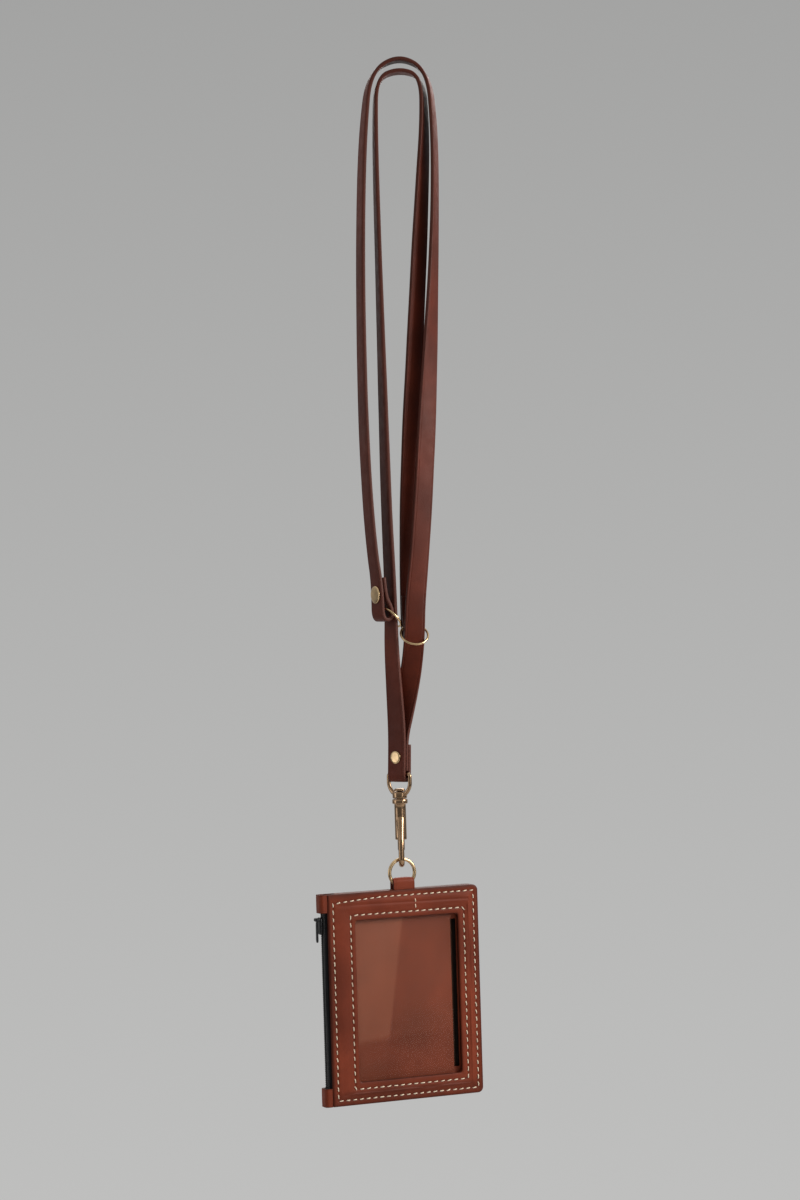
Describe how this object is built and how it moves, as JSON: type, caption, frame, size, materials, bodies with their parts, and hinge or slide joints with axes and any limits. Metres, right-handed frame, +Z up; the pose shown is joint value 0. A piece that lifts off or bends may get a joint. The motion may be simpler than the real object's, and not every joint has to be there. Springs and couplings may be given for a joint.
{
  "type": "badge wallet",
  "caption": "Leather badge wallet with a window pocket and a zipped pocket, hung by a bolt snap from an adjustable leather lanyard",
  "frame": {"origin": "the point that the lanyard hangs from, under the top of its inner arch", "axes": "+X to the right along the wallet's face, +Y into the wallet, +Z up"},
  "size_m": [0.0935, 0.0272, 0.556],
  "materials": {
    "wallet_leather": "smooth waxed leather",
    "strap_leather": "dark bridle leather",
    "window_film": "clear flexible film",
    "lining": "dark woven lining",
    "zip_tape": "black woven tape",
    "zip_teeth": "black coil",
    "zip_metal": "black enamel",
    "brass": "aged polished brass",
    "spring_steel": "plain wire"
  },
  "bodies": {
    "lanyard": {"left_strap": "strap_leather", "right_strap": "strap_leather", "left_adjuster_ring": "brass", "right_adjuster_ring": "brass", "hook_rivet": "brass", "left_adjuster_rivet": "brass", "right_adjuster_rivet": "brass"},
    "eye": {"swivel_eye": "brass"},
    "hook": {"snap_hook": "brass", "swivel_pin": "brass", "bolt_spring": "spring_steel"},
    "bolt": {"snap_bolt": "brass", "bolt_knob": "brass"},
    "ring": {"tab_ring": "brass"},
    "wallet": {"front_panel": "wallet_leather", "window_film": "window_film", "pocket_welt": "wallet_leather", "card_backing": "wallet_leather", "edge_welt": "wallet_leather", "pocket_lining": "lining", "back_panel": "wallet_leather", "hang_tab": "wallet_leather", "tab_filler": "wallet_leather", "zip_tape_front": "zip_tape", "zip_tape_back": "zip_tape", "zip_teeth_front": "zip_teeth", "zip_teeth_back": "zip_teeth", "zip_top_tab": "wallet_leather", "zip_bottom_tab": "wallet_leather"},
    "slider": {"zip_slider": "zip_metal"},
    "pull": {"zip_pull": "zip_metal"}
  },
  "joints": [
    {"name": "eye_swing", "type": "hinge", "parent": "lanyard", "child": "eye", "pos_m": [-0.01032, 0.0046, -0.3786], "axis": [0.4462, -0.8949, 0], "range_deg": [-30, 30]},
    {"name": "hook_swivel", "type": "hinge", "parent": "eye", "child": "hook", "pos_m": [-0.01032, 0.0046, -0.392], "axis": [0, 0, 1], "continuous": true},
    {"name": "bolt_slide", "type": "slide", "parent": "hook", "child": "bolt", "axis": [0, 0, 1], "range_m": [0, 0.006], "stiffness_N_per_m": 200, "springref_m": -0.003, "deforming": ["bolt_spring"]},
    {"name": "ring_swing", "type": "hinge", "parent": "hook", "child": "ring", "pos_m": [-0.01175, 0.0014, -0.42395], "axis": [1, 0, 0], "range_deg": [-60, 60]},
    {"name": "wallet_swing", "type": "hinge", "parent": "ring", "child": "wallet", "pos_m": [-0.01175, 0.0014, -0.4312], "axis": [0, 1, 0], "range_deg": [-40, 40]},
    {"name": "zip_slide", "type": "slide", "parent": "wallet", "child": "slider", "axis": [0, 0, -1], "range_m": [0, 0.08]},
    {"name": "pull_swing", "type": "hinge", "parent": "slider", "child": "pull", "pos_m": [-0.06175, 0.0014, -0.453], "axis": [0, 1, 0], "range_deg": [0, 150]}
  ]
}
